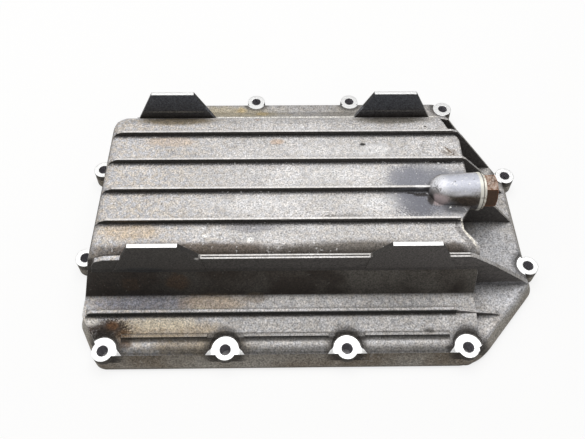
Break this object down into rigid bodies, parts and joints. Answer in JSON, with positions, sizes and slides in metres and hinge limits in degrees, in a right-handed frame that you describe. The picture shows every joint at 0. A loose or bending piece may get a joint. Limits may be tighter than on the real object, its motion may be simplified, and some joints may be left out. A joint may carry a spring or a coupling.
{
  "type": "engine oil pan",
  "caption": "Shallow cast aluminium engine oil pan with long cooling ribs, upright feet, a bolted flange and a hexagon drain plug on a washer.",
  "frame": {"origin": "middle of the row of four front bolt holes, on the sealing face", "axes": "+X along the pan towards the drain plug, +Y from the front bolt row to the back edge, +Z from the sealing face to the sump bottom, which is up as the part rests"},
  "size_m": [0.3333, 0.2346, 0.0726],
  "materials": {
    "cast_aluminium": "rough cast, oil stained in the hollows, bright where machined",
    "washer_aluminium": "bright flat washer",
    "plug_steel": "rust brown steel, worn at the corners"
  },
  "bodies": {
    "pan": {"pan_casting": "cast_aluminium"},
    "washer": {"sealing_washer": "washer_aluminium"},
    "plug": {"drain_plug": "plug_steel"}
  },
  "joints": [
    {"name": "plug_travel", "type": "slide", "parent": "pan", "child": "washer", "axis": [1, 0, 0], "range_m": [0, 0.014]},
    {"name": "plug_turn", "type": "hinge", "parent": "washer", "child": "plug", "pos_m": [0.1341, 0.096, 0.054], "axis": [1, 0, 0], "range_deg": [0, 3362]}
  ],
  "couplings": [
    {"joint": "plug_turn", "follows": "plug_travel", "rad_per_m": 4188.8}
  ]
}
